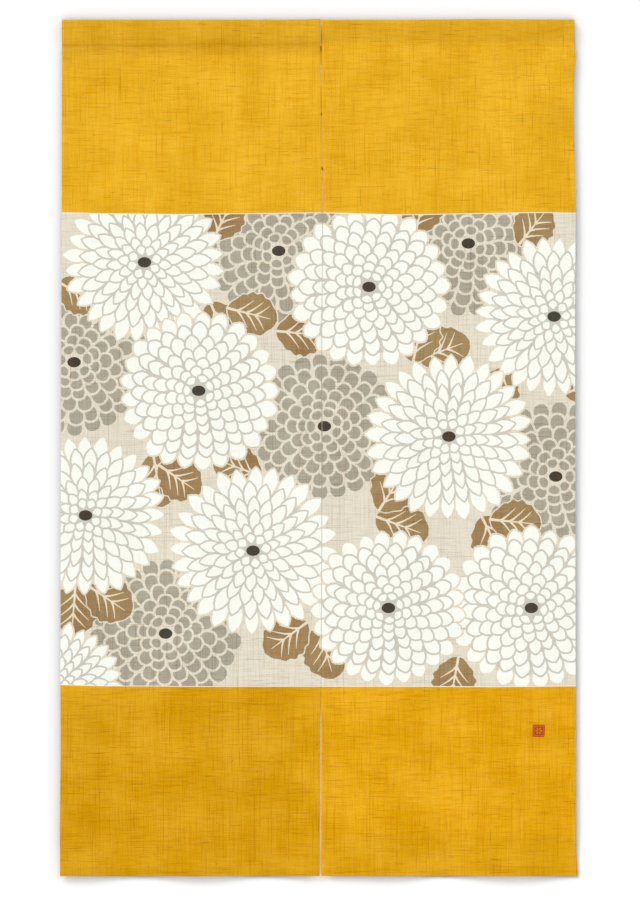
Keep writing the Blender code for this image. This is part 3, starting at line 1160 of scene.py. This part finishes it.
# The wall shows only from the front, and only to the camera, so it darkens nothing behind it
wall_paint = plain_paint("pale_wall", (0.955, 0.955, 0.955))
tree = wall_paint.node_tree
from_behind = node(tree, "ShaderNodeNewGeometry").outputs["Backfacing"]
seen = node(tree, "ShaderNodeLightPath").outputs["Is Camera Ray"]
show_only(wall_paint, tree.nodes["Principled BSDF"], seen, from_behind)
wall = [(x * WALL_HALF, WALL_GAP, z)
        for x, z in ((-1, WALL_FOOT), (1, WALL_FOOT), (1, WALL_TOP), (-1, WALL_TOP))]
staged("wall", wall, [(0, 1, 2, 3)], wall_paint)

# Strips like the wall close behind the slit's open stretches, to catch the light there
SLIP_COLUMNS = (-0.012, -0.005, 0.0, 0.005, 0.012)
SLIP_BEHIND = 0.0030
SLIP_SHORT = 0.004
spots = []
faces = []
for top, foot in ((SEAM_LENGTH, BAND_TOP), (BAND_FOOT, DROP - SLIP_SHORT)):
    levels = spaced(top, foot, STAGE_ROW)
    faces += hanging_faces(len(levels), len(SLIP_COLUMNS), len(spots))
    for below in levels:
        for aside in SLIP_COLUMNS:
            x = line_x("seam", below) + aside
            hindmost = min(fold_forward(panel, x, below) for panel in HANGS)
            spots.append((x, SLIP_BEHIND - hindmost, -below))
staged("slip", spots, faces, wall_paint)

# A dark grey flag behind each panel keeps the light that its back throws off the wall's shadow.
# It is there only for rays from the wall's side, and never for the camera. It reaches a little
# past the outer edges, the top and the foot, where the shadow is darkest.
FlagRow = namedtuple("FlagRow", "below behind")
FLAG_OVER_SLEEVE = (
    FlagRow(-0.0024, 0.0020),
    FlagRow(-0.0006, 0.0062),
    FlagRow(0.0050, 0.0086),
    FlagRow(0.0120, 0.0086),
    FlagRow(SLEEVE_DEPTH + SLEEVE_TURN_IN, 0.0086),
)
FLAG_TOP = SLEEVE_DEPTH + 0.010
FLAG_FOOT = DROP + 0.0034
FLAG_BEHIND_CLOTH = 0.0016
FLAG_COLUMNS = 24
FLAG_OUTSET_LEFT = 0.0012
FLAG_OUTSET_RIGHT = 0.0024
FLAG_SLIT_INSET = 0.0160
flag_cloth, tree, _ = new_material("dark_flag")
facing_wall = node(tree, "ShaderNodeNewGeometry").outputs["Backfacing"]
seen = node(tree, "ShaderNodeLightPath").outputs["Is Camera Ray"]
dark_grey = node(tree, "ShaderNodeBsdfDiffuse", inputs={"Color": (0.12, 0.11, 0.10, 1.0)})
show_only(flag_cloth, dark_grey, facing_wall, seen)
for panel in HANGS:
    levels = list(FLAG_OVER_SLEEVE)
    levels += [FlagRow(below, None) for below in spaced(FLAG_TOP, FLAG_FOOT, STAGE_ROW)]
    spots = []
    for below, behind in levels:
        left, right = side_lines(panel, below)
        off_slit = FLAG_SLIT_INSET if below > SEAM_LENGTH else 0.0
        left += off_slit if panel == "right" else -FLAG_OUTSET_LEFT
        right -= off_slit if panel == "left" else -FLAG_OUTSET_RIGHT
        for column in range(FLAG_COLUMNS + 1):
            x = left + (right - left) * column / FLAG_COLUMNS
            y = FLAG_BEHIND_CLOTH - fold_forward(panel, x, below) if behind is None else behind
            spots.append((x, y, -below))
    staged(f"flag_{panel}", spots, hanging_faces(len(levels), FLAG_COLUMNS + 1), flag_cloth)

world = bpy.data.worlds.new("white_room")
world.use_nodes = True
world.node_tree.nodes["Background"].inputs["Color"].default_value = (1.0, 1.0, 1.0, 1.0)
world.node_tree.nodes["Background"].inputs["Strength"].default_value = 0.935
bpy.context.scene.world = world

lamp_data = bpy.data.lights.new("broad_lamp", "SUN")
lamp_data.energy = 0.81
lamp_data.angle = 0.365
lamp = placed("broad_lamp", lamp_data)
lamp.location = (-5.2, -6.4, 6.0)
lamp.rotation_euler = (Vector((0.0, 0.0, -0.7)) - lamp.location).to_track_quat("-Z", "Y").to_euler()

# The camera faces the middle of the picture squarely, from far enough to look flat
CAMERA_DISTANCE = 6.0
PICTURE_HEIGHT = 1.5762
camera_data = bpy.data.cameras.new("camera")
camera_data.sensor_width = 36.0
camera_data.lens = camera_data.sensor_width * CAMERA_DISTANCE / PICTURE_HEIGHT
camera = placed("camera", camera_data)
camera.location = (0.0023, -CAMERA_DISTANCE, -0.7536)
camera.rotation_euler = (math.pi / 2, 0.0, 0.0)
bpy.context.scene.camera = camera
bpy.context.scene.view_settings.view_transform = "Standard"
